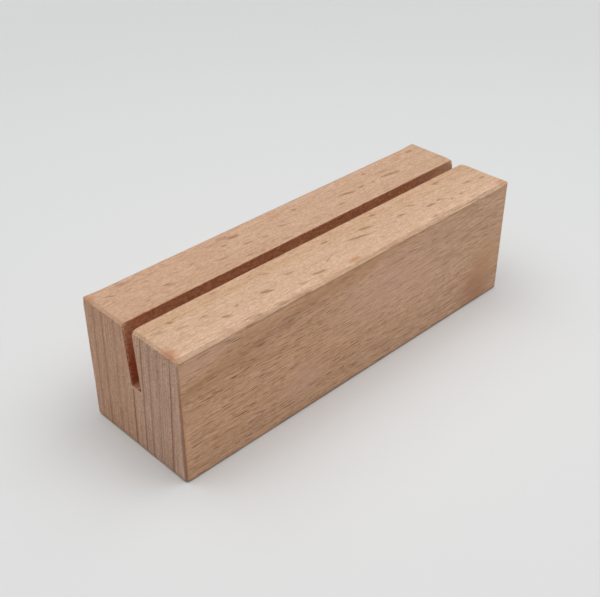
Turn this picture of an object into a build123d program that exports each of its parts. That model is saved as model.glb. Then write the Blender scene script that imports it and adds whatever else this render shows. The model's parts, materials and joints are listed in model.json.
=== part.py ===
from build123d import *
import os

# A block of solid beech that holds one photo print or card upright in a slot.
# Lengths are in millimetres and angles in degrees. X runs along the block, Y
# across it from the front face to the back face, and Z up. The origin is the
# middle of the base.

# The planed block.
block_length = 100.0
block_width = 30.0
block_height = 30.0

# The slot is one cut by a tilted saw blade, open along the top and through both
# ends. Its depth is measured along its own walls, and a print in it leans back.
slot_width = 3.0
slot_depth = 14.3
slot_lean = 4.5

# In the top face the middle of the slot lies this far behind the block's middle.
slot_setback = 0.3

# The edges are eased by sanding, the slot's less than the outer ones.
arris_radius = 0.5
slot_edge_radius = 0.2

# The slot's cut runs this far past the wood at each end and at the top.
cut_overrun = 2.0

# A box placed so stands on the plane z = 0, over the middle of its base.
on_its_base = (Align.CENTER, Align.CENTER, Align.MIN)


def planed_block():
    """The block before the slot is cut, with its twelve arrises eased."""
    block = Box(block_length, block_width, block_height, align=on_its_base)
    return fillet(block.edges(), arris_radius)


def slot_mouth():
    """The middle of the slot's mouth, in the plane of the top face."""
    return Vector(0, slot_setback, block_height)


def slot_waste():
    """The wood that the tilted blade takes out, from its square floor upwards."""
    waste_length = block_length + 2 * cut_overrun
    waste_height = slot_depth + cut_overrun
    waste = Box(waste_length, slot_width, waste_height, align=on_its_base)
    floor_under_mouth = Pos(0, 0, -slot_depth) * waste
    return Pos(slot_mouth()) * Rot(-slot_lean, 0, 0) * floor_under_mouth


def mouth_edges(block):
    """The two long edges of the slot's mouth, which run on down the ends in one line."""
    long_edges = block.edges().filter_by(Axis.X)
    return long_edges.sort_by_distance(slot_mouth())[:2]


def slotted_block():
    """The whole holder, one piece of wood with its slot cut and eased."""
    block = planed_block() - slot_waste()
    return fillet(mouth_edges(block), slot_edge_radius)


beech_block = slotted_block()
os.makedirs("parts", exist_ok=True)
export_step(beech_block, "parts/beech_block.step")
print("beech_block", round(beech_block.volume, 1), "cubic mm,", beech_block.bounding_box())
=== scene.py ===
# %% [markdown]
# # A beech block that holds a photo print
#
# The object is one piece of beech with a saw cut along its top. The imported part
# gives its size and place. This script gives it its looks: eased edges, a sawn
# slot with torn fibres, and the wood itself. The wood is one solid pattern, so
# that each face shows what a cut through a real block would show there.
#
# The first cell loads the part. It stays fixed, and everything is fitted to it,
# in metres. Small sizes are written as a number times `mm`.

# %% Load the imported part
import json
import random
from math import hypot, pi, radians

import bmesh
import bpy
from mathutils import Matrix, Vector, noise


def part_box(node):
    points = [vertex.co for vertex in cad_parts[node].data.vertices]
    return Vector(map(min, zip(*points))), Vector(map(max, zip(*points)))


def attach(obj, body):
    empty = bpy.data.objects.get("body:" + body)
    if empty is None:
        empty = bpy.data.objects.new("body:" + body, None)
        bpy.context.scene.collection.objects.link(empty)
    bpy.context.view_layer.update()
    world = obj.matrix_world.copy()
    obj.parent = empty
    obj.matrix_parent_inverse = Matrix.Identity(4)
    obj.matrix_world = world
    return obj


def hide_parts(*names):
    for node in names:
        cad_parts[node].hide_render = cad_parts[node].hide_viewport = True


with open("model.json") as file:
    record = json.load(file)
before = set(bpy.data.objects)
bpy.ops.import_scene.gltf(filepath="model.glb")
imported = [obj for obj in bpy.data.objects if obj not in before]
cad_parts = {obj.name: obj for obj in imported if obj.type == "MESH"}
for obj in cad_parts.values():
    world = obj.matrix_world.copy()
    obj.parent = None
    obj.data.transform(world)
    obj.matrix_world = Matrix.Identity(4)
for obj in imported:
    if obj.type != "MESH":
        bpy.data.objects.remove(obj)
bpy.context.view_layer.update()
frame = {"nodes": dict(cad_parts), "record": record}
mm = 0.001
low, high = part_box("beech_block")
block_size = high - low
print("block in mm:", [round(side / mm, 2) for side in block_size])

# %% [markdown]
# ## The slot, read from the part
#
# A tilted saw blade cut the slot. The part's record gives the middle of its floor
# and the direction up along its walls. Its width isn't in the record, so it is
# measured on the part's mesh, between the walls where they meet the floor. The
# slot's edges are eased where it comes out at the block's ends, which makes it
# wider there. So the corners of the floor that lie nearest to the block's middle
# are the ones that count.

# %% Measure the slot
slot = next(mount for mount in frame["record"]["mounts"] if mount["name"] == "slot")
slot_floor = Vector(slot["pos_m"])
slot_up = Vector(slot["axis"]).normalized()
slot_back = Vector((0, slot_up.z, -slot_up.y))
slot_depth = (high.z - slot_floor.z) / slot_up.z


def in_slot(point):
    """Where a point lies in the slot: how far back from its middle, and how far up from its floor."""
    away = point - slot_floor
    return away.dot(slot_back), away.dot(slot_up)


on_floor = 0.01 * mm
part_points = [vertex.co for vertex in frame["nodes"]["beech_block"].data.vertices]
floor_corners = [point for point in part_points if abs(in_slot(point)[1]) < on_floor]
inner_corner = min(floor_corners, key=lambda point: abs(point.x))
slot_width = 2 * abs(in_slot(inner_corner)[0])
print("slot in mm: width", round(slot_width / mm, 2), "depth", round(slot_depth / mm, 2))

# %% [markdown]
# ## Camera
#
# The photograph looks down on the block from its front left. The camera's place,
# its aim and its lens come from fitting the block's edges to the edges in the
# picture. `to_track_quat` turns the camera's -Z towards the aim, and a small roll
# is added about its own Z.

# %% Set the camera
camera_place = Vector((-131.28, -130.49, 138.06)) * mm
camera_aim = Vector((-2.34, 2.27, 13.0)) * mm
camera_roll = radians(-0.208)
image_width = 600
focal_pixels = 985.5

lens = bpy.data.cameras.new("photo_camera")
lens.lens = lens.sensor_width * focal_pixels / image_width
lens.clip_start = 10 * mm
camera = bpy.data.objects.new("photo_camera", lens)
scene = bpy.context.scene
scene.collection.objects.link(camera)
scene.camera = camera
facing = (camera_aim - camera_place).to_track_quat("-Z", "Y").to_matrix().to_4x4()
camera.matrix_world = Matrix.Translation(camera_place) @ facing @ Matrix.Rotation(camera_roll, 4, "Z")
print("lens in mm:", round(lens.lens, 2))

# %% [markdown]
# ## Node helpers
#
# A material is a graph of nodes. A few helpers keep the graphs short to write.
# `make` adds one node and fills or joins its inputs: an input that is given a
# socket is joined to it, and any other value is typed in. `maths` and `vectors` do
# one sum, `fade` takes a value smoothly from one level to another, and `tint` lays
# one colour over another. `srgb` turns a colour as a picture holds it into the
# numbers that a shader takes.

# %% Node helpers
def srgb(red, green, blue):
    """A colour as a picture holds it, 0 to 255, turned into the linear numbers that shaders take."""
    def linear(level):
        share = level / 255
        return share / 12.92 if share <= 0.04045 else ((share + 0.055) / 1.055) ** 2.4
    return (linear(red), linear(green), linear(blue), 1.0)


def make(tree, kind, inputs=(), **settings):
    """Adds a node to the tree, sets it up, and joins or fills its inputs."""
    new = tree.nodes.new("ShaderNode" + kind)
    for setting, value in settings.items():
        setattr(new, setting, value)
    for name, value in dict(inputs).items():
        if isinstance(value, bpy.types.NodeSocket):
            tree.links.new(value, new.inputs[name])
        else:
            new.inputs[name].default_value = value
    return new


def maths(tree, operation, *values):
    """One sum on one, two or three numbers or sockets."""
    return make(tree, "Math", dict(enumerate(values)), operation=operation).outputs[0]


def vectors(tree, operation, *values):
    """One sum on vectors."""
    return make(tree, "VectorMath", dict(enumerate(values)), operation=operation).outputs["Vector"]


def fade(tree, value, start, end, low_end=0.0, high_end=1.0):
    """Takes a value smoothly from low_end at start to high_end at end, and holds it outside."""
    inputs = {"Value": value, "From Min": start, "From Max": end, "To Min": low_end, "To Max": high_end}
    return make(tree, "MapRange", inputs, interpolation_type="SMOOTHSTEP").outputs["Result"]


def tint(tree, amount, under, over, how="MIX"):
    """Lays one colour over another by an amount from 0 to 1."""
    node = make(tree, "Mix", data_type="RGBA", blend_type=how, clamp_factor=True)
    for name, value in (("Factor", amount), ("A", under), ("B", over)):
        wanted = "VALUE" if name == "Factor" else "RGBA"
        socket = next(s for s in node.inputs if s.name == name and s.type == wanted)
        if isinstance(value, bpy.types.NodeSocket):
            tree.links.new(value, socket)
        else:
            socket.default_value = value
    return next(s for s in node.outputs if s.type == "RGBA")


# %% [markdown]
# ## Floor
#
# The block stands on a pale seamless sheet. It has no shine, so that it keeps the
# block's soft shadow and nothing else. Far from the block the lamps hardly reach
# it, so there the camera sees it melt into the backdrop's pale grey.

# %% Make the floor
floor_half = 3.0
floor_mesh = bmesh.new()
bmesh.ops.create_grid(floor_mesh, x_segments=1, y_segments=1, size=floor_half)
floor_data = bpy.data.meshes.new("floor")
floor_mesh.to_mesh(floor_data)
floor_mesh.free()
floor = bpy.data.objects.new("floor", floor_data)
scene.collection.objects.link(floor)
paper = bpy.data.materials.new("pale_floor")
paper.use_nodes = True
paper_shader = paper.node_tree.nodes["Principled BSDF"]
paper_shader.inputs["Base Color"].default_value = srgb(227, 228, 228)
paper_shader.inputs["Roughness"].default_value = 0.9
paper_shader.inputs["Specular IOR Level"].default_value = 0.0
lit_radius, melted_radius = 0.18, 0.42
backdrop_light = 0.73
paper_tree = paper.node_tree
paper_place = make(paper_tree, "TexCoord").outputs["Object"]
radius = make(paper_tree, "VectorMath", {0: paper_place}, operation="LENGTH").outputs["Value"]
seen_by_camera = make(paper_tree, "LightPath").outputs["Is Camera Ray"]
melting = maths(paper_tree, "MULTIPLY", fade(paper_tree, radius, lit_radius, melted_radius), seen_by_camera)
glow = make(paper_tree, "Emission", {"Color": (1.0, 1.0, 1.0, 1.0), "Strength": backdrop_light})
layers = {0: melting, 1: paper_shader.outputs["BSDF"], 2: glow.outputs["Emission"]}
sheet = make(paper_tree, "MixShader", layers)
paper_tree.links.new(sheet.outputs["Shader"], paper_tree.nodes["Material Output"].inputs["Surface"])
floor_data.materials.append(paper)

# %% [markdown]
# ## Light
#
# The photograph has soft light from overhead with no hard shadow, and the floor
# is a little darker on every side of the block. Four square softboxes hang round
# it, so each side throws its own faint shadow. A dim sky, brighter overhead than
# at the horizon, fills the rest. Together they light a level surface at about
# one, so a colour renders about as it is written. Camera rays that miss the floor
# see a pale grey backdrop instead of the dim sky.

# %% Light the scene
scene.view_settings.view_transform = "Standard"
world = bpy.data.worlds.new("studio")
world.use_nodes = True
scene.world = world
sky_tree = world.node_tree
sky = sky_tree.nodes["Background"]
sky.inputs["Color"].default_value = (1.0, 1.0, 1.0, 1.0)
horizon_light, overhead_light = 0.02, 0.29
direction = make(sky_tree, "TexCoord").outputs["Generated"]
upness = make(sky_tree, "SeparateXYZ", {"Vector": direction}).outputs["Z"]
fill = fade(sky_tree, upness, 0.0, 1.0, horizon_light, overhead_light)
seen = make(sky_tree, "LightPath").outputs["Is Camera Ray"]
to_backdrop = maths(sky_tree, "MULTIPLY", seen, maths(sky_tree, "SUBTRACT", backdrop_light, fill))
sky_tree.links.new(maths(sky_tree, "ADD", fill, to_backdrop), sky.inputs["Strength"])

softbox_side = 0.5
softboxes = {
    "softbox_right": ((0.28, -0.10, 0.62), 1.28),
    "softbox_back": ((-0.10, 0.28, 0.62), 1.12),
    "softbox_front": ((0.10, -0.28, 0.62), 1.20),
    "softbox_left": ((-0.28, 0.08, 0.62), 1.00),
}
for name, (hung_at, watts) in softboxes.items():
    softbox = bpy.data.lights.new(name, "AREA")
    softbox.size = softbox_side
    softbox.energy = watts
    lamp = bpy.data.objects.new(name, softbox)
    scene.collection.objects.link(lamp)
    aim = Vector((0, 0, high.z / 2)) - Vector(hung_at)
    lamp.matrix_world = Matrix.Translation(hung_at) @ aim.to_track_quat("-Z", "Y").to_matrix().to_4x4()

# %% [markdown]
# ## The block's shape
#
# A real block is planed to a square bar, sawn to length, slotted, and its edges
# are rubbed with sandpaper. The mesh follows the same steps. The end's outline is
# drawn as one face with eight corners and extruded along the grain. `bevel` then
# eases the slot's edges, which get little sanding because the paper can't reach
# in. The floor's own two edges stay sharp, as the saw leaves them.

# %% Saw the block
slot_edge_radius = 0.2 * mm
touch = 0.001 * mm


def mouth_point(floor_point):
    """The point where a slot wall that rises from floor_point meets the top face."""
    return floor_point + slot_up * ((high.z - floor_point.z) / slot_up.z)


back_floor = slot_floor + slot_back * slot_width / 2
front_floor = slot_floor - slot_back * slot_width / 2
outline = [
    Vector((0, low.y, low.z)),
    Vector((0, high.y, low.z)),
    Vector((0, high.y, high.z)),
    mouth_point(back_floor),
    back_floor,
    front_floor,
    mouth_point(front_floor),
    Vector((0, low.y, high.z)),
]
block = bmesh.new()
end_face = block.faces.new([block.verts.new((low.x, point.y, point.z)) for point in outline])
grown = bmesh.ops.extrude_face_region(block, geom=[end_face])["geom"]
far_end = [part for part in grown if isinstance(part, bmesh.types.BMVert)]
bmesh.ops.translate(block, verts=far_end, vec=(block_size.x, 0, 0))
bmesh.ops.recalc_face_normals(block, faces=block.faces)


def on_slot_wall(face):
    """True for the slot's two walls and its floor."""
    corners = [in_slot(vertex.co) for vertex in face.verts]
    return all(abs(back) < slot_width / 2 + touch and up > -touch for back, up in corners)


slot_edges = [edge for edge in block.edges
              if [on_slot_wall(face) for face in edge.link_faces].count(True) == 1]
bmesh.ops.bevel(block, geom=[edge for edge in slot_edges if edge.is_convex], offset=slot_edge_radius,
                offset_type="OFFSET", affect="EDGES", segments=3, profile=0.5, material=-1)
open_edges = sum(edge.is_boundary for edge in block.edges)
print("faces after easing the slot:", len(block.faces), "open edges:", open_edges)

# %% [markdown]
# The flat faces are still single large polygons. `bisect_plane` slices them into
# a grid, so that the sanding has points to move. The slices are 1 mm apart, and
# much closer near the outer edges and the slot's mouth, where the shape changes
# quickly. The slot's walls are left out of the slices along the block, because
# they lean and would be cut into slivers.

# %% Slice the faces into a grid
coarse_step = 1.0 * mm
edge_gaps = [gap * mm for gap in (0.06, 0.14, 0.24, 0.36, 0.5, 0.66, 0.85, 1.1, 1.4, 1.8)]
mouth_gaps = edge_gaps[1::2]
base_gaps = edge_gaps[:5]
thinnest_slice = 0.03 * mm


def slice_places(start, end, fine_places):
    """Places from start to end, one coarse_step apart, and closer near the fine places."""
    places = [start + coarse_step * step for step in range(1, round((end - start) / coarse_step))]
    for place, gaps in fine_places:
        places += [place + side * gap for gap in gaps for side in (-1, 1)]
    return sorted(place for place in places if start + thinnest_slice < place < end - thinnest_slice)


def slice_block(axis, places, geometry):
    """Cuts the geometry with planes square to one axis."""
    direction = Vector([float(index == axis) for index in range(3)])
    for place in places:
        bmesh.ops.bisect_plane(block, geom=geometry(), dist=touch,
                               plane_co=direction * place, plane_no=direction)


def whole():
    """Every face, with its edges and corners."""
    return list(block.verts) + list(block.edges) + list(block.faces)


def without_slot():
    """The faces outside the slot, with their edges and corners."""
    faces = [face for face in block.faces if not on_slot_wall(face)]
    edges = {edge for face in faces for edge in face.edges}
    corners = {corner for face in faces for corner in face.verts}
    return list(corners) + list(edges) + faces


mouths = [mouth_point(back_floor).y, mouth_point(front_floor).y]
across_places = [(low.y, edge_gaps), (high.y, edge_gaps)] + [(mouth, mouth_gaps) for mouth in mouths]
slice_block(1, slice_places(low.y, high.y, across_places), without_slot)
slice_block(2, slice_places(low.z, high.z, [(low.z, base_gaps), (high.z, edge_gaps)]), whole)
slice_block(0, slice_places(low.x, high.x, [(low.x, edge_gaps), (high.x, edge_gaps)]), whole)
print("faces after slicing:", len(block.faces))

# %% [markdown]
# The top edges of the real block are sanded to a flat slope, nearly 1 mm wide on
# the top and half that on the sides. Its upright and bottom edges are only
# touched. `sanded` gives the place where sanding leaves a point. It takes the
# nearest point of a smaller box inside the block, and pulls the point in until it
# is one easing away from that box. A power of 2 in the sum would give a round
# edge and 1 a flat one. Here it is only a little more than 1. The far end was
# sanded less than the near one, and the paper slid over the three corners away
# from the camera, so those stay crisper than the near one.

# %% Sand the outer edges
top_easing = Vector((0.75, 0.9, 0.5)) * mm
far_end_easing = 0.35 * mm
upright_easing = 0.3 * mm
base_easing = 0.45 * mm
easing_grows = (1.6 * mm, 0.6 * mm)
edge_power = 1.15
arris_reach = 0.9 * mm
crisp_corners = [(low.x, high.y), (high.x, low.y), (high.x, high.y)]
crisp_reach = 4.0 * mm
crisp_share = 0.5


def sanding_share(point):
    """1 over most of the block, falling to crisp_share at the crisp corners."""
    away = min(hypot(point.x - x, point.y - y) for x, y in crisp_corners)
    return crisp_share + (1 - crisp_share) * min(1.0, away / crisp_reach)


def easing_at(point):
    """How far sanding reaches from the edges along X, Y and Z near a point."""
    below_top = high.z - point.z
    share = sanding_share(point)
    widest = (top_easing.x if point.x < 0 else far_end_easing, top_easing.y)
    rise = min(1.0, max(0.0, (easing_grows[0] - below_top) / (easing_grows[0] - easing_grows[1])))
    rise = rise * rise * (3 - 2 * rise)
    sideways = [upright_easing + (wide * share - upright_easing) * rise for wide in widest]
    return sideways + [top_easing.z * share if below_top < block_size.z / 2 else base_easing]


def sanded(point):
    """Where sanding leaves a point of the square block."""
    reach = easing_at(point)
    core = [min(max(point[axis], low[axis] + reach[axis]), high[axis] - reach[axis]) for axis in range(3)]
    out = [point[axis] - core[axis] for axis in range(3)]
    length = sum((abs(out[axis]) / reach[axis]) ** edge_power for axis in range(3)) ** (1 / edge_power)
    return Vector([core[axis] + out[axis] / max(length, 1.0) for axis in range(3)])


def edge_nearness(point):
    """1 on the sharp line where two outer faces would meet, 0 at arris_reach from it."""
    gaps = sorted(min(point[axis] - low[axis], high[axis] - point[axis]) for axis in range(3))
    return max(0.0, 1 - gaps[1] / arris_reach)


arris_mark = block.verts.layers.float.new("arris")
for corner in block.verts:
    corner[arris_mark] = edge_nearness(corner.co)
    corner.co = sanded(corner.co)
bmesh.ops.remove_doubles(block, verts=block.verts, dist=8 * touch)
bmesh.ops.dissolve_degenerate(block, edges=block.edges, dist=touch)
print("faces after sanding:", len(block.faces))

# %% [markdown]
# Hand sanding never leaves a true edge: it takes a little more wood here and a
# little less there. Each corner point moves inwards by a smooth noise, most on
# the edges and hardly at all on the faces. The four corners where the slot's
# mouth meets the ends are thin, so the paper rounds them most, and so is the
# lowest corner, which gets knocked. Nothing moves outwards, so the block stays
# inside its real size.

# %% Wear the edges
edge_wear = 0.07 * mm
face_wear = 0.015 * mm
wear_wave = 9.0 * mm
corner_wear = 0.3 * mm
corner_reach = 1.9 * mm
worn_corners = [Vector((end, mouth_point(foot).y, high.z))
                for end in (low.x, high.x) for foot in (back_floor, front_floor)]
worn_corners.append(Vector((low.x, low.y, low.z)))


def noise_at(point, wave):
    """A smooth noise from 0 to 1."""
    return min(1.0, max(0.0, 0.5 + 0.7 * noise.noise(point / wave)))


def corner_nearness(point):
    """1 at a worn corner, fading to 0 at corner_reach from it."""
    distance = min((point - corner).length for corner in worn_corners)
    return max(0.0, 1 - distance / corner_reach) ** 2


block.normal_update()
moves = {}
for corner in block.verts:
    depth = edge_wear * corner[arris_mark] * noise_at(corner.co, wear_wave)
    depth += corner_wear * corner_nearness(corner.co)
    if corner.co.z > low.z + touch:
        depth += face_wear * noise_at(corner.co + Vector((1, 1, 1)), 2 * wear_wave)
    moves[corner] = -corner.normal * depth
for corner, move in moves.items():
    corner.co += move

# %% [markdown]
# The material needs to know which surface it is on: end grain, a flat-sawn long
# side, a slot wall, or an eased edge. Each corner point carries a number for each
# of these, stored as attributes of the mesh, which the shader reads by name.

# %% Mark the surfaces
facing_low, facing_high = 0.45, 0.9


def facing(share):
    """0 to 1 as a surface turns to face an axis, so that an eased edge blends one mark into the next."""
    return min(1.0, max(0.0, (abs(share) - facing_low) / (facing_high - facing_low)))


marks = {name: block.verts.layers.float.new(name) for name in ("end_grain", "flat_sawn", "slot_wall")}
block.normal_update()
for corner in block.verts:
    back, up = in_slot(corner.co)
    inside = abs(back) < slot_width / 2 + 0.05 * mm and up > -0.05 * mm
    corner[marks["slot_wall"]] = 1.0 if inside else 0.0
    corner[marks["flat_sawn"]] = 0.0 if inside else facing(corner.normal.y)
    corner[marks["end_grain"]] = 0.0 if inside else facing(corner.normal.x)

block_data = bpy.data.meshes.new("beech_holder")
for face in block.faces:
    face.smooth = True
block.to_mesh(block_data)
block.free()
holder = bpy.data.objects.new("beech_holder", block_data)
scene.collection.objects.link(holder)
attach(holder, "root")
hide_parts("beech_block")
print("triangles:", sum(len(polygon.vertices) - 2 for polygon in block_data.polygons))

# %% [markdown]
# ## Torn fibres in the slot
#
# A saw blade tears the last fibres where it leaves the wood, and sandpaper can't
# reach into a slot to take them off. They stand as pale slivers along the slot's
# edges on the visible end. Each sliver is a cone with four sides, squashed, turned
# and set with its foot in the wood. The random numbers have a seed, so that every
# run gives the same slivers.

# %% Tear the fibres
dice = random.Random(7)
slivers = bmesh.new()
flatness = 0.55
set_in = 0.08 * mm


def sliver(foot, direction, lengths, thicknesses):
    """Adds one pointed fibre at foot, its length and thickness drawn from two ranges in mm."""
    length = dice.uniform(*lengths) * mm
    thickness = dice.uniform(*thicknesses) * mm
    made = bmesh.ops.create_cone(slivers, cap_ends=True, segments=4, radius1=thickness / 2,
                                 radius2=thickness / 10, depth=length)
    flat = Matrix.Scale(flatness, 4, (0, 1, 0))
    stand = Matrix.Translation((0, 0, length / 2))
    turn = direction.to_track_quat("Z", "Y").to_matrix().to_4x4()
    roll = Matrix.Rotation(dice.uniform(0, pi), 4, "Z")
    placed = Matrix.Translation(foot) @ turn @ stand @ roll @ flat
    bmesh.ops.transform(slivers, matrix=placed, verts=made["verts"])


def wall_point(inwards, side, up):
    """A point on a slot wall, inwards from the visible end. side is 1 for the back wall, -1 for the front."""
    place_on_wall = slot_floor + slot_back * side * slot_width / 2 + slot_up * up
    return Vector((low.x + inwards, place_on_wall.y, place_on_wall.z))


def lean(base, spread):
    """A direction near base."""
    return (base + Vector([dice.uniform(-spread, spread) for axis in range(3)])).normalized()


back_edge_fibres, front_edge_fibres, lip_fibres, mouth_fibres = 60, 16, 14, 24
for count in range(back_edge_fibres):
    foot = wall_point(dice.uniform(0.2, 0.5) * mm, 1, dice.uniform(0.4, 13.6) * mm)
    sliver(foot + slot_back * set_in, lean(-slot_back - slot_up * 0.9, 0.5), (0.3, 0.65), (0.08, 0.18))
for count in range(front_edge_fibres):
    foot = wall_point(dice.uniform(0.25, 0.6) * mm, -1, dice.uniform(0.4, 13.0) * mm)
    sliver(foot - slot_back * set_in, lean(slot_back - slot_up * 0.9, 0.5), (0.25, 0.45), (0.07, 0.14))
for count in range(lip_fibres):
    foot = slot_floor + slot_back * dice.uniform(-0.45, 0.45) * slot_width - slot_up * 0.06 * mm
    foot.x = low.x + dice.uniform(0.2, 0.7) * mm
    sliver(foot, lean(slot_up + slot_back * dice.choice((-1, 1)), 0.5), (0.25, 0.5), (0.1, 0.2))
for count in range(mouth_fibres):
    foot = wall_point(dice.uniform(3.0, 97.0) * mm, dice.choice((1, 1, -1)),
                      slot_depth - dice.uniform(0.25, 0.6) * mm)
    along = Vector((dice.choice((-1, 1)), 0, 0))
    sliver(foot, lean(along - slot_up * 0.15, 0.15), (0.5, 1.4), (0.05, 0.1))
bmesh.ops.recalc_face_normals(slivers, faces=slivers.faces)
sliver_data = bpy.data.meshes.new("slot_fibres")
slivers.to_mesh(sliver_data)
slivers.free()
fibres = bpy.data.objects.new("slot_fibres", sliver_data)
scene.collection.objects.link(fibres)
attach(fibres, "root")
furthest_out = min(vertex.co.x for vertex in sliver_data.vertices)
highest = max(vertex.co.z for vertex in sliver_data.vertices)
print("slivers reach x, z in mm:", round(furthest_out / mm, 2), round(highest / mm, 2))

# %% [markdown]
# ## Beech
#
# The wood is one solid pattern in the block's own place, in millimetres, with the
# grain along X. Three things make beech look like beech. The growth rings are
# thin darker sheets, nearly upright here, so they are lines on the ends. The rays
# are small flat lenses that run across the rings: cut endways on the long sides
# they are short dashes, and cut along their flat on the top they are spindles.
# Fine fibres run along everything.
#
# `cloud` is smooth noise with lumps of a chosen size on each axis, and `shifted`
# bends a position by such noise, so that nothing lies quite straight. `times` is
# the product of two values.

# %% Lay out the wood's own coordinates
beech = bpy.data.materials.new("beech")
beech.use_nodes = True
tree = beech.node_tree
shader = tree.nodes["Principled BSDF"]
object_place = make(tree, "TexCoord").outputs["Object"]
place = make(tree, "Mapping", {"Vector": object_place, "Scale": (1 / mm, 1 / mm, 1 / mm)}).outputs["Vector"]


def times(first, second):
    """The product of two numbers or sockets."""
    return maths(tree, "MULTIPLY", first, second)


def cloud(position, stretch, detail=2.0, roughness=0.5, offset=(0.0, 0.0, 0.0)):
    """Smooth noise whose lumps are about stretch mm long on each axis."""
    scaled = make(tree, "Mapping", {"Vector": position, "Location": offset,
                                    "Scale": tuple(1 / length for length in stretch)})
    inputs = {"Vector": scaled.outputs["Vector"], "Scale": 1.0, "Detail": detail, "Roughness": roughness}
    return make(tree, "TexNoise", inputs)


def shifted(position, amount, stretch, detail=2.0):
    """Moves a position by a smooth noise, by up to about half of amount on each axis."""
    wander = vectors(tree, "SUBTRACT", cloud(position, stretch, detail).outputs["Color"], (0.5, 0.5, 0.5))
    return vectors(tree, "ADD", position, vectors(tree, "MULTIPLY", wander, amount))


grown_place = shifted(place, (0.0, 1.2, 1.2), (40.0, 12.0, 12.0))
ragged_place = shifted(grown_place, (0.6, 0.5, 0.07), (2.2, 0.8, 0.6))

# %% [markdown]
# ## Growth rings
#
# `across_rings` grows from ring to ring. The rings lean a little, more towards
# the front, and they turn slowly along the block, so on the front face one ring
# runs out as a long slanting band. A colour ramp holds one narrow peak per ring:
# it darkens slowly through the late wood and ends sharply where spring begins.

# %% Grow the rings
ring_lines = ((12.2, 0.76), (9.4, 0.84), (5.3, 0.67), (3.3, 0.42), (0.35, 1.0),
              (-3.0, 0.95), (-5.4, 0.8), (-8.1, 0.7), (-11.75, 1.0), (-14.46, 1.0))
ring_before, ring_after = 0.9, 0.2
ring_span = 40.0
parts = make(tree, "SeparateXYZ", {"Vector": shifted(place, (0.0, 0.35, 0.0), (30.0, 7.0, 8.0))}).outputs
lean_rate = maths(tree, "MULTIPLY_ADD", parts["Y"], -0.0014, 0.053)
ring_height = maths(tree, "SUBTRACT", parts["Z"], 15.0)
leaned = maths(tree, "MULTIPLY_ADD", lean_rate, ring_height, parts["Y"])
across_rings = maths(tree, "MULTIPLY_ADD", maths(tree, "ADD", parts["X"], 50.0), -0.0117, leaned)
ring_ramp = make(tree, "ValToRGB", {"Fac": maths(tree, "MULTIPLY_ADD", across_rings, 1 / ring_span, 0.5)})
stops = ring_ramp.color_ramp.elements
stops[0].color = stops[1].color = (0, 0, 0, 0)
for ring, strength in ring_lines:
    for gap, level in ((-ring_before, 0.0), (0.0, strength), (ring_after, 0.0)):
        stops.new((ring + gap) / ring_span + 0.5).color = (level, level, level, level)
rings = ring_ramp.outputs["Alpha"]
ring_core = maths(tree, "POWER", rings, 3.0)
year_noise = make(tree, "TexNoise", {"W": across_rings, "Scale": 2.4, "Detail": 3.0, "Roughness": 0.7},
                  noise_dimensions="1D").outputs["Fac"]
print("rings drawn:", len(ring_lines), "stops used:", len(stops))

# %% [markdown]
# ## Rays
#
# A Voronoi texture fills space with cells and gives the middle of the nearest
# one. A flat lens drawn around each middle makes one ray to a cell. Two layers,
# one small and close and one larger and sparse, give the usual mix. Each ray is
# darkened by its own random amount.

# %% Strew the rays
def lens(position, half_sizes, slant):
    """0 at the middle of a flat pointed lens, 1 at its skin. slant is its turn about Z and Y in degrees."""
    rotation = (0, radians(-slant[1]), radians(-slant[0]))
    turned = make(tree, "VectorRotate", {"Vector": position, "Rotation": rotation}, rotation_type="EULER_XYZ")
    inverse = tuple(1 / half for half in half_sizes)
    scaled = vectors(tree, "ABSOLUTE", vectors(tree, "MULTIPLY", turned.outputs["Vector"], inverse))
    shaped = vectors(tree, "POWER", scaled, (2.0, 1.2, 1.6))
    return make(tree, "VectorMath", {0: shaped, 1: (1.0, 1.0, 1.0)}, operation="DOT_PRODUCT").outputs["Value"]


def ray_layer(spacing, half_sizes, slant, offset, weakest):
    """Rays strewn one to a cell of the given spacing, as strengths from 0 to 1."""
    scaled = make(tree, "Mapping", {"Vector": ragged_place, "Location": offset,
                                    "Scale": tuple(1 / length for length in spacing)}).outputs["Vector"]
    cells = make(tree, "TexVoronoi", {"Vector": scaled, "Scale": 1.0, "Randomness": 0.95})
    away = vectors(tree, "MULTIPLY", vectors(tree, "SUBTRACT", scaled, cells.outputs["Position"]), spacing)
    own = make(tree, "SeparateColor", {"Color": cells.outputs["Color"]}).outputs["Red"]
    strength = fade(tree, own, 0.0, 1.0, weakest, 1.0)
    return times(fade(tree, lens(away, half_sizes, slant), 1.0, 0.6), strength)


small_rays = ray_layer((4.4, 1.3, 1.0), (1.8, 0.45, 0.085), (-10, 1), (0.3, 0.7, 0.1), 0.3)
large_rays = ray_layer((6.5, 1.9, 1.6), (2.7, 0.6, 0.1), (-10, 1), (5.3, 1.7, 2.1), 0.3)
tiny_rays = ray_layer((2.6, 0.6, 0.42), (1.1, 0.2, 0.08), (-8, 1), (2.1, 4.2, 0.4), 0.0)

# %% [markdown]
# ## Grain lines and tone
#
# Cut along the rings, as on the front face, the wood's vessels show as long
# hair-thin dark lines. Noise drawn out along the grain has such crests, and
# `hairs` keeps only the highest. The rest of the tone is broad: soft bands and
# patches, pinker and yellower by turns. `toned` multiplies a colour by factors.

# %% Draw the grain lines and the tone
def hairs(stretch, start, end, offset):
    """Long thin lines along the grain, 0 to 1: the highest crests of a drawn-out noise."""
    crests = cloud(grown_place, stretch, 1.0, 0.5, offset).outputs["Fac"]
    return fade(tree, crests, start, end)


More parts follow.
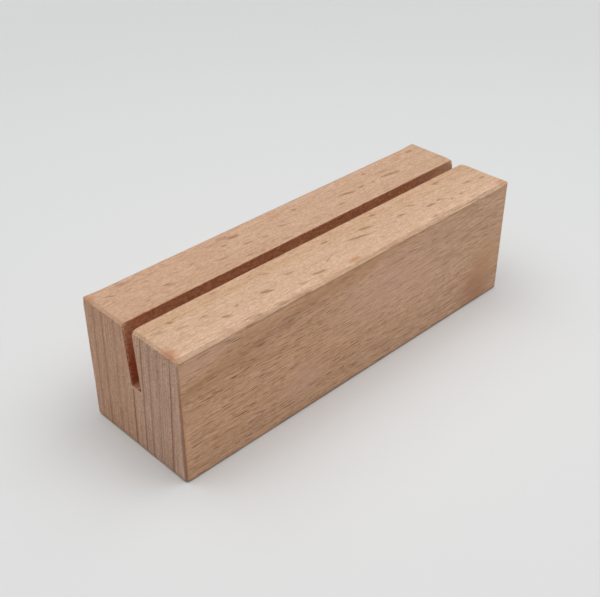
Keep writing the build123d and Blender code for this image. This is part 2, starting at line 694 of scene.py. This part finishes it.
long_hairs = hairs((9.0, 0.7, 0.2), 0.56, 0.66, (1.0, 2.0, 3.0))
short_hairs = hairs((3.6, 0.45, 0.15), 0.55, 0.68, (6.0, 5.0, 4.0))
fibre = cloud(grown_place, (5.0, 0.3, 0.13), 3.0, 0.75).outputs["Fac"]
grit = cloud(ragged_place, (1.0, 0.24, 0.16), 3.0, 0.8, (4.0, 2.0, 1.0)).outputs["Fac"]
band = cloud(grown_place, (60.0, 3.0, 6.0), 2.0, 0.5, (3.0, 1.0, 5.0)).outputs["Fac"]
patch = cloud(place, (14.0, 7.0, 7.0), 2.0, 0.5, (1.0, 8.0, 2.0)).outputs["Fac"]
blush = cloud(place, (5.0, 1.6, 2.4), 1.0, 0.5, (7.0, 3.0, 9.0)).outputs["Fac"]
place_parts = make(tree, "SeparateXYZ", {"Vector": place}).outputs


def mark(name):
    """One of the mesh's own numbers, by name."""
    return make(tree, "Attribute", attribute_name=name).outputs["Fac"]


def toned(under, amount, factors):
    """A colour multiplied by factors, by an amount from 0 to 1."""
    return tint(tree, amount, under, tint(tree, 1.0, under, factors, "MULTIPLY"))


colour = tint(tree, fade(tree, band, 0.3, 0.7), srgb(231, 199, 170), srgb(225, 192, 162))
colour = tint(tree, fade(tree, patch, 0.3, 0.75, 0.0, 0.35), colour, srgb(226, 187, 160))
colour = tint(tree, fade(tree, blush, 0.4, 0.75, 0.0, 0.2), colour, srgb(226, 192, 152))
fine_share = fade(tree, mark("flat_sawn"), 0.0, 1.0, 0.6, 0.45)
fibre_share = fade(tree, mark("flat_sawn"), 0.0, 1.0, 0.55, 0.75)
fibre_colour = tint(tree, mark("flat_sawn"), srgb(198, 159, 128), srgb(178, 134, 102))
colour = tint(tree, times(fade(tree, fibre, 0.4, 0.62), fibre_share), colour, fibre_colour)
colour = tint(tree, times(fade(tree, grit, 0.4, 0.64), fine_share), colour, srgb(184, 141, 110))
colour = toned(colour, fade(tree, place_parts["Y"], -3.0, 4.0, 0.0, 1.0), (0.935, 0.91, 0.91, 1.0))

# %% [markdown]
# ## What each face shows
#
# The mesh carries a number for each kind of surface, and each number sets how much
# of a pattern shows there. The hairs show most on the front face, and most of all
# near the visible end. The rings are lines on the end grain and faint bands
# elsewhere. The rays are dark dashes on the front face and faint on the rest.

# %% Lay hairs, rings and rays on the faces
end_grain = mark("end_grain")
flat_sawn = mark("flat_sawn")
slot_wall = mark("slot_wall")
arris = mark("arris")
hair_share = fade(tree, place_parts["X"], -50.0, 30.0, 0.26, 0.12)
hair_share = times(hair_share, fade(tree, flat_sawn, 0.0, 1.0, 0.2, 1.0))
near_front = fade(tree, place_parts["Y"], -12.0, -14.5, 0.0, 0.3)
hair_share = maths(tree, "MAXIMUM", hair_share, near_front)
hair_share = times(hair_share, fade(tree, end_grain, 0.0, 1.0, 1.0, 0.0))
colour = tint(tree, times(long_hairs, hair_share), colour, srgb(138, 98, 70))
colour = tint(tree, times(short_hairs, times(hair_share, 0.8)), colour, srgb(146, 106, 78))

ring_dark = maths(tree, "MULTIPLY_ADD", ring_core, 0.8, times(rings, 0.2))
ring_dark = times(ring_dark, fade(tree, end_grain, 0.0, 1.0, 0.18, 1.0))
off_near_edge = fade(tree, maths(tree, "MULTIPLY_ADD", end_grain, -2.0, place_parts["Y"]), -15.0, -14.4)
ring_dark = times(ring_dark, off_near_edge)
ring_band = times(maths(tree, "POWER", rings, 6.0), times(flat_sawn, 0.45))
ring_dark = maths(tree, "MAXIMUM", ring_dark, ring_band)
ray_dark = fade(tree, flat_sawn, 0.0, 1.0, 0.27, 1.0)
ray_dark = times(ray_dark, fade(tree, place_parts["X"], -45.0, 45.0, 0.95, 0.5))
ray_dark = times(ray_dark, fade(tree, end_grain, 0.0, 1.0, 1.0, 0.3))
tiny_dark = times(ray_dark, 0.8)
colour = tint(tree, times(tiny_rays, tiny_dark), colour, srgb(124, 76, 46))
colour = tint(tree, times(small_rays, ray_dark), colour, srgb(92, 48, 24))
colour = tint(tree, times(large_rays, ray_dark), colour, srgb(100, 54, 28))

# %% [markdown]
# ## End grain
#
# The ends show each year's growth as upright streaks between the ring lines, with
# fine dark pores. The streaks follow `across_rings`, so they lean as the rings do,
# and they break up along their height.

# %% Streak the end grain
year_place = make(tree, "CombineXYZ", {"X": 0.0, "Y": across_rings, "Z": place_parts["Z"]}).outputs["Vector"]
streaks = cloud(year_place, (1.0, 0.32, 7.0), 3.0, 0.75, (0.0, 3.0, 1.0)).outputs["Fac"]
pores = cloud(place, (1.5, 0.2, 0.32), 2.0, 0.7, (3.0, 6.0, 2.0)).outputs["Fac"]
dark_streaks = times(fade(tree, streaks, 0.5, 0.66, 0.0, 0.6), end_grain)
pale_streaks = times(fade(tree, streaks, 0.47, 0.34, 0.0, 0.5), end_grain)
year_lines = times(fade(tree, year_noise, 0.5, 0.66, 0.0, 0.45), end_grain)
pore_dots = times(fade(tree, pores, 0.5, 0.62, 0.0, 0.6), end_grain)
pale_dots = times(fade(tree, pores, 0.42, 0.32, 0.0, 0.25), end_grain)
colour = tint(tree, dark_streaks, colour, srgb(176, 138, 116))
colour = tint(tree, pale_streaks, colour, srgb(240, 212, 194))
colour = tint(tree, year_lines, colour, srgb(164, 124, 102))
colour = tint(tree, pore_dots, colour, srgb(150, 112, 90))
colour = tint(tree, pale_dots, colour, srgb(246, 220, 204))
colour = tint(tree, ring_dark, colour, srgb(124, 72, 46))

# %% [markdown]
# ## Marks in their own places
#
# Some marks lie in one place each. `spot` measures how deep a point lies in an
# egg-shaped region: it turns the point back about the region's middle, divides by
# the region's size, and takes the length, which is 1 on the skin. The clearest
# flecks on the top are placed one by one with it. Each result is used up before
# the next one is made, because a shader can hold only so many numbers at once.

# %% Place the single marks
def spot(position, centre, half_sizes, turn=0.0, turn_about_y=0.0):
    """0 in the middle of an egg-shaped region, 1 on its skin, and more outside."""
    if turn or turn_about_y:
        inputs = {"Vector": position, "Center": centre, "Rotation": (0, radians(turn_about_y), radians(turn))}
        turned = make(tree, "VectorRotate", inputs, rotation_type="EULER_XYZ", invert=True)
        position = turned.outputs["Vector"]
    scale = [1 / half for half in half_sizes]
    offset = [-middle * share for middle, share in zip(centre, scale)]
    away = vectors(tree, "MULTIPLY_ADD", position, scale, offset)
    return make(tree, "VectorMath", {0: away}, operation="LENGTH").outputs["Value"]


# each fleck: along the block, across it, its length, its width, its turn in degrees, its strength
flecks = (
    (-43.3, -4.4, 1.5, 0.7, -20, 0.7), (-37.2, -7.3, 2.2, 0.4, 0, 0.7), (-34.0, -10.3, 2.2, 0.7, -20, 0.8),
    (-30.3, -8.9, 1.4, 0.5, 0, 0.6), (-22.8, -9.4, 3.0, 0.8, -20, 1.0), (-18.8, -4.4, 3.0, 1.0, -30, 0.4),
    (-10.3, -11.7, 3.8, 0.7, -8, 1.0), (-5.5, -9.5, 3.5, 0.3, 20, 0.6), (-1.4, -4.1, 2.4, 0.5, -5, 0.8),
    (-31.0, -2.3, 2.5, 0.5, 0, 0.6), (5.6, -7.7, 5.8, 0.6, -12, 1.0), (9.4, -6.1, 4.0, 0.8, -12, 0.8),
    (14.8, -3.3, 1.8, 0.6, -10, 0.8), (19.5, -7.8, 2.6, 0.6, -8, 0.8), (24.4, -6.4, 2.6, 0.7, -25, 0.6),
    (27.8, -9.4, 3.2, 0.7, -5, 1.0), (31.2, -9.1, 1.8, 0.6, 0, 0.7), (36.9, -3.4, 2.2, 0.5, 0, 1.0),
    (37.3, -10.8, 1.6, 0.5, 0, 0.7), (33.8, -10.9, 1.3, 0.5, 0, 0.6), (43.0, -8.3, 1.6, 0.5, 0, 0.6),
    (47.2, -9.2, 2.8, 0.6, 0, 0.7), (-13.6, 11.3, 3.2, 0.9, -3, 1.0), (-17.5, 10.0, 2.0, 0.6, -10, 0.6),
    (-35.3, 6.4, 2.6, 0.5, -15, 0.8), (-20.9, 6.1, 3.5, 0.6, -8, 0.6), (-12.8, 7.2, 2.6, 0.6, -8, 0.7),
    (-2.5, 7.5, 1.8, 0.6, -20, 0.8), (-15.8, 3.3, 2.6, 0.5, -8, 0.6), (-8.4, 6.6, 2.0, 0.7, -20, 0.5),
    (4.2, 10.8, 1.6, 0.7, 0, 0.8), (18.4, 7.8, 4.6, 0.8, -12, 0.9), (23.3, 7.8, 1.9, 0.7, 0, 0.8),
    (27.0, 7.4, 1.4, 0.6, 0, 0.7), (33.0, 7.4, 5.8, 0.8, -8, 0.9), (13.8, 5.2, 3.2, 0.5, -5, 0.6),
    (45.6, 12.3, 2.2, 0.7, 0, 0.9), (28.3, 11.7, 1.8, 0.8, 0, 0.6), (-45.9, 10.9, 2.6, 0.5, -25, 0.6),
    (-41.4, 4.5, 1.5, 0.4, 0, 0.5), (-26.7, 9.1, 1.8, 0.5, 0, 0.5), (24.7, -13.4, 2.2, 0.8, 0, 0.5),
)
fleck_depth = 0.5
top_height = 30.0
fleck_place = shifted(place, (0.5, 0.3, 0.2), (1.3, 0.8, 0.8))
shade = 0.0
for along, across, length, width, turn, strength in flecks:
    reach = spot(fleck_place, (along, across, top_height), (0.7 * length, 0.75 * width, fleck_depth), turn)
    shade = maths(tree, "MAXIMUM", maths(tree, "MULTIPLY_ADD", reach, -strength, strength), shade)
single_flecks = fade(tree, shade, 0.0, 0.55)
colour = tint(tree, times(single_flecks, 0.8), colour, srgb(164, 118, 84))
print("single flecks:", len(flecks))

# %% [markdown]
# The same regions change the tone in a few places. Broad soft patches lie over the
# front face. Small orange-brown ones lie on the top, at its corners, and along the
# near upright edge. The broad ones wander more, so that no rim looks drawn.

# %% Change the tone in a few places
# each patch: its centre, its half sizes in mm, its turn about Y, its colour, its strength
patches = (
    ((41.0, -15.0, 5.0), (7.5, 7.0, 10.0), 12, (184, 138, 108), 0.8),
    ((45.0, -15.0, 11.0), (6.5, 6.0, 7.0), 20, (200, 158, 120), 0.45),
    ((-39.0, -15.0, 23.6), (15.0, 4.0, 2.6), -13, (196, 152, 112), 0.42),
    ((-6.0, -15.0, 28.2), (27.0, 4.0, 2.2), -2, (198, 154, 116), 0.55),
    ((-30.5, -15.0, 24.2), (3.0, 2.0, 0.9), -8, (190, 134, 108), 0.5),
    ((-18.0, -15.0, 9.0), (7.0, 5.0, 6.0), 0, (222, 184, 165), 0.35),
    ((-44.0, -15.0, 27.5), (8.0, 3.0, 3.5), 0, (222, 186, 166), 0.4),
    ((10.0, -15.0, 20.0), (24.0, 5.0, 9.0), 0, (224, 186, 165), 0.35),
    ((-49.4, -12.2, 29.9), (1.8, 2.6, 1.4), 0, (190, 132, 92), 0.7),
    ((-49.4, 13.2, 29.9), (1.6, 1.8, 1.2), 0, (194, 140, 104), 0.6),
    ((-1.5, -13.3, 30.0), (2.2, 0.8, 0.8), 0, (186, 132, 92), 0.8),
    ((48.3, -13.8, 29.9), (1.8, 1.5, 1.0), 0, (192, 134, 98), 0.6),
    ((40.3, 11.6, 30.0), (1.6, 0.8, 0.8), 0, (200, 144, 104), 0.7),
    ((-1.1, 11.7, 30.0), (1.8, 1.0, 0.8), 0, (200, 146, 110), 0.6),
    ((-50.5, -15.6, 13.0), (1.7, 1.7, 19.0), 0, (196, 142, 108), 0.8),
)
patch_place = shifted(place, (4.0, 1.5, 4.0), (9.0, 5.0, 6.0), 3.0)
broad = 2.0
for centre, half_sizes, turn, paint, strength in patches:
    wanders = min(half_sizes) > broad
    inside = spot(patch_place if wanders else fleck_place, centre, half_sizes, 0.0, turn)
    colour = tint(tree, fade(tree, inside, 1.25, 0.1, 0.0, strength), colour, srgb(*paint))
print("patches of tone:", len(patches))

# %% [markdown]
# ## Cut surfaces
#
# The slot's walls were browned by the hot saw blade and left with fine saw marks.
# Shade is painted on them too: they turn darker and redder towards the floor, and
# are darkest in the floor's front corner. A pale pool of painted light lies along
# the floor, and the walls are paler towards the far end. `along_slot` measures a
# point's place in the slot, as `in_slot` did for the mesh, but in the shader.

# %% Colour the slot's walls
def along_slot(direction):
    """How far a point lies from the middle of the slot's floor along a direction, in mm."""
    away = vectors(tree, "SUBTRACT", place, tuple(slot_floor / mm))
    return make(tree, "VectorMath", {0: away, 1: tuple(direction)}, operation="DOT_PRODUCT").outputs["Value"]


wall_height = along_slot(slot_up)
wall_gap = maths(tree, "SUBTRACT", maths(tree, "ABSOLUTE", along_slot(slot_back)), 0.5 * slot_width / mm)
# painted shade: the walls turn darker and redder deeper in the slot
painted_depth_shade = fade(tree, wall_height, 12.0, 4.5)
wall_browning_and_painted_light = tint(tree, painted_depth_shade, (1.1, 0.77, 0.585, 1.0), (1.04, 0.39, 0.257, 1.0))
saw_marks = cloud(place, (0.9, 0.6, 0.5), 4.0, 0.8, (1.0, 5.0, 3.0)).outputs["Fac"]
wall_browning_and_painted_light = tint(tree, fade(tree, saw_marks, 0.38, 0.64, 0.0, 0.7), wall_browning_and_painted_light, (0.55, 0.28, 0.2, 1.0))
# painted light: a paler pool along the slot's floor
wall_browning_and_painted_light = tint(tree, fade(tree, wall_height, 0.4, 0.1), wall_browning_and_painted_light, (1.0, 0.8, 0.72, 1.0))
# painted shade in the front corner where the floor meets the front wall
painted_corner_shade = times(fade(tree, along_slot(slot_back), 0.1, -0.9), fade(tree, wall_height, 0.5, 0.15))
wall_browning_and_painted_light = tint(tree, painted_corner_shade, wall_browning_and_painted_light, (0.34, 0.16, 0.1, 1.0))
wall_browning_and_painted_light = tint(tree, fade(tree, place_parts["X"], 34.0, 48.0, 0.0, 0.6), wall_browning_and_painted_light, (1.1, 0.98, 0.9, 1.0))

# %% [markdown]
# End grain drinks more light than the long faces, so it is greyer and darker. The
# tints below are factors on the wood's colour, one set for each kind of surface,
# and each changes a little from one side of its face to the other. They also hold
# painted shade: the ends and the long faces darken towards the floor, and the long
# faces' lowest half millimetre gets a painted contact shadow.

# %% Tint the end, the side and the slot
end_front, end_back = (1.165, 1.122, 1.17, 1.0), (1.243, 1.145, 1.082, 1.0)
end_tone_and_shade = tint(tree, fade(tree, place_parts["Y"], -6.0, 3.0), end_front, end_back)
# painted shade: the ends darken towards the floor
end_tone_and_shade = tint(tree, fade(tree, place_parts["Z"], 12.0, 4.0, 0.0, 0.075), end_tone_and_shade, (0.3, 0.3, 0.3, 1.0))
colour = toned(colour, end_grain, end_tone_and_shade)
side_near, side_far = (1.21, 1.11, 1.03, 1.0), (1.22, 1.155, 1.12, 1.0)
side_tone_and_shade = tint(tree, fade(tree, place_parts["X"], -40.0, 40.0), side_near, side_far)
# painted shade: the long faces darken towards the floor
side_tone_and_shade = tint(tree, fade(tree, place_parts["Z"], 11.0, 3.0, 0.0, 0.055), side_tone_and_shade, (0.0, 0.0, 0.0, 1.0))
# painted contact shadow along the base of the long faces
side_tone_and_shade = tint(tree, fade(tree, place_parts["Z"], 0.95, 0.45, 0.0, 0.3), side_tone_and_shade, (0.3, 0.26, 0.26, 1.0))
colour = toned(colour, flat_sawn, side_tone_and_shade)
colour = toned(colour, slot_wall, wall_browning_and_painted_light)

# %% [markdown]
# ## Worn and torn rims
#
# The saw tore the wood beside the slot, which left a paler, pinker rim on the end.
# The near upright edge has a brown band, widest at the base, with a paler line
# beside it. Noise makes both of its sides ragged.

# %% Rim the slot
rim_share = times(fade(tree, wall_gap, 0.9, 0.1), fade(tree, wall_height, -0.9, -0.1))
rim_share = times(rim_share, fade(tree, wall_height, 0.3, -0.1, 0.45, 0.9))
rim_share = times(rim_share, end_grain)
colour = tint(tree, rim_share, colour, srgb(232, 184, 160))

# %% Brown the near upright edge
band_width = fade(tree, place_parts["Z"], 4.0, 22.0, 0.74, 0.4)
from_edge = maths(tree, "DIVIDE", maths(tree, "ADD", place_parts["Y"], 15.0), band_width)
from_edge = maths(tree, "MAXIMUM", from_edge, maths(tree, "MULTIPLY_ADD", place_parts["X"], 2.6, 130.0))
ragged_edge = cloud(place, (2.0, 2.0, 2.5), 3.0, 0.6, (2.0, 2.0, 7.0)).outputs["Fac"]
from_edge = maths(tree, "MULTIPLY_ADD", ragged_edge, 0.6, maths(tree, "SUBTRACT", from_edge, 0.3))
edge_strength = fade(tree, place_parts["Z"], 10.0, 26.0, 0.6, 0.35)
colour = tint(tree, times(fade(tree, from_edge, 1.15, 0.6), edge_strength), colour, srgb(142, 98, 72))
beside = times(fade(tree, from_edge, 1.1, 1.5), fade(tree, from_edge, 2.6, 1.9))
near_end = times(fade(tree, place_parts["X"], -49.0, -49.4), end_grain)
beside = times(times(beside, near_end), 0.35)
colour = tint(tree, beside, colour, srgb(240, 205, 186))

# %% [markdown]
# The sanded top edges get painted shade, a little darker than the faces. On the
# top, a strip along the front is paler, the wood beside the slot is darker, and
# the back half is warmer near the visible end.

# %% Tone the top
top_arris_shade = times(arris, fade(tree, place_parts["Z"], 29.0, 29.3))
# painted shade on the sloping top edges
colour = toned(colour, times(top_arris_shade, 0.8), (0.93, 0.915, 0.89, 1.0))
front_strip = times(fade(tree, place_parts["Y"], -10.5, -12.8), fade(tree, place_parts["Z"], 29.3, 29.7))
front_strip = times(front_strip, fade(tree, arris, 0.0, 0.4, 1.0, 0.0))
colour = toned(colour, front_strip, (1.08, 1.09, 1.12, 1.0))
by_slot = times(fade(tree, place_parts["Y"], -6.8, -3.5), fade(tree, place_parts["Y"], 7.0, 2.5))
by_slot = times(by_slot, fade(tree, place_parts["Y"], -1.5, 1.5, 1.0, 0.35))
by_slot = times(by_slot, fade(tree, place_parts["Z"], 28.5, 29.5))
by_slot = times(by_slot, fade(tree, end_grain, 0.0, 1.0, 1.0, 0.0))
colour = toned(colour, by_slot, (0.955, 0.92, 0.87, 1.0))
near_back = times(fade(tree, place_parts["Y"], 0.0, 2.0), fade(tree, place_parts["X"], 20.0, -50.0))
near_back = times(near_back, fade(tree, end_grain, 0.0, 1.0, 1.0, 0.0))
colour = toned(colour, near_back, (0.98, 0.95, 0.935, 1.0))

# %% [markdown]
# Along the lower line of the front top edge, a painted highlight stands for fibres
# that catch the light, above a thin line of painted shade. The finished colour then
# goes to the shader.

# %% Light the front top edge
crisp = fade(tree, cloud(place, (6.0, 3.0, 3.0), 2.0, 0.6, (5.0, 1.0, 1.0)).outputs["Fac"], 0.35, 0.6)
painted_edge_highlight = times(fade(tree, place_parts["Z"], 29.28, 29.42), fade(tree, place_parts["Z"], 29.66, 29.52))
edge_shade = times(fade(tree, place_parts["Z"], 28.98, 29.1), fade(tree, place_parts["Z"], 29.38, 29.26))
at_front = times(fade(tree, place_parts["Y"], -14.5, -14.8), crisp)
# painted highlight along the front top edge
colour = tint(tree, times(times(painted_edge_highlight, at_front), 0.45), colour, srgb(244, 214, 188))
# painted shade line just below it
colour = tint(tree, times(times(edge_shade, at_front), 0.3), colour, srgb(140, 100, 74))
tree.links.new(colour, shader.inputs["Base Color"])

# %% [markdown]
# ## Touch
#
# The wood is sanded but not varnished, so it is matt. Rays and pores are a few
# hundredths of a millimetre lower than the rest, and fibres stand up a little.
# The Bump node turns that height into shading.

# %% Finish the surface
pits = maths(tree, "MAXIMUM", maths(tree, "MAXIMUM", small_rays, large_rays), times(tiny_rays, 0.6))
height = maths(tree, "MULTIPLY_ADD", pits, -1.0, times(fibre, 0.8))
height = maths(tree, "MULTIPLY_ADD", ring_core, -0.5, maths(tree, "MULTIPLY_ADD", grit, 0.8, height))
height = maths(tree, "MULTIPLY_ADD", times(saw_marks, slot_wall), 3.0, height)
bump = make(tree, "Bump", {"Strength": 1.0, "Distance": 0.08 * mm, "Height": height})
tree.links.new(bump.outputs["Normal"], shader.inputs["Normal"])
tree.links.new(fade(tree, grit, 0.3, 0.7, 0.56, 0.74), shader.inputs["Roughness"])
shader.inputs["Specular IOR Level"].default_value = 0.25
block_data.materials.append(beech)

# %% [markdown]
# ## Torn wood
#
# Fresh torn fibres are paler than the sanded faces and have no sheen. Fine noise
# drawn out along the grain varies them, so that no two slivers are quite alike.

# %% Finish the torn fibres
torn = bpy.data.materials.new("torn_wood")
torn.use_nodes = True
torn_tree = torn.node_tree
torn_shader = torn_tree.nodes["Principled BSDF"]
torn_place = make(torn_tree, "TexCoord").outputs["Object"]
torn_stretch = (400.0, 1400.0, 1400.0)
torn_scaled = make(torn_tree, "Mapping", {"Vector": torn_place, "Scale": torn_stretch}).outputs["Vector"]
torn_inputs = {"Vector": torn_scaled, "Scale": 1.0, "Detail": 3.0, "Roughness": 0.7}
torn_noise = make(torn_tree, "TexNoise", torn_inputs).outputs["Fac"]
torn_share = fade(torn_tree, torn_noise, 0.35, 0.65)
torn_colour = tint(torn_tree, torn_share, srgb(232, 196, 168), srgb(196, 142, 110))
torn_tree.links.new(torn_colour, torn_shader.inputs["Base Color"])
torn_bump = make(torn_tree, "Bump", {"Strength": 1.0, "Distance": 0.02 * mm, "Height": torn_noise})
torn_tree.links.new(torn_bump.outputs["Normal"], torn_shader.inputs["Normal"])
torn_tree.links.new(fade(torn_tree, torn_noise, 0.3, 0.7, 0.7, 0.85), torn_shader.inputs["Roughness"])
torn_shader.inputs["Specular IOR Level"].default_value = 0.2
sliver_data.materials.append(torn)
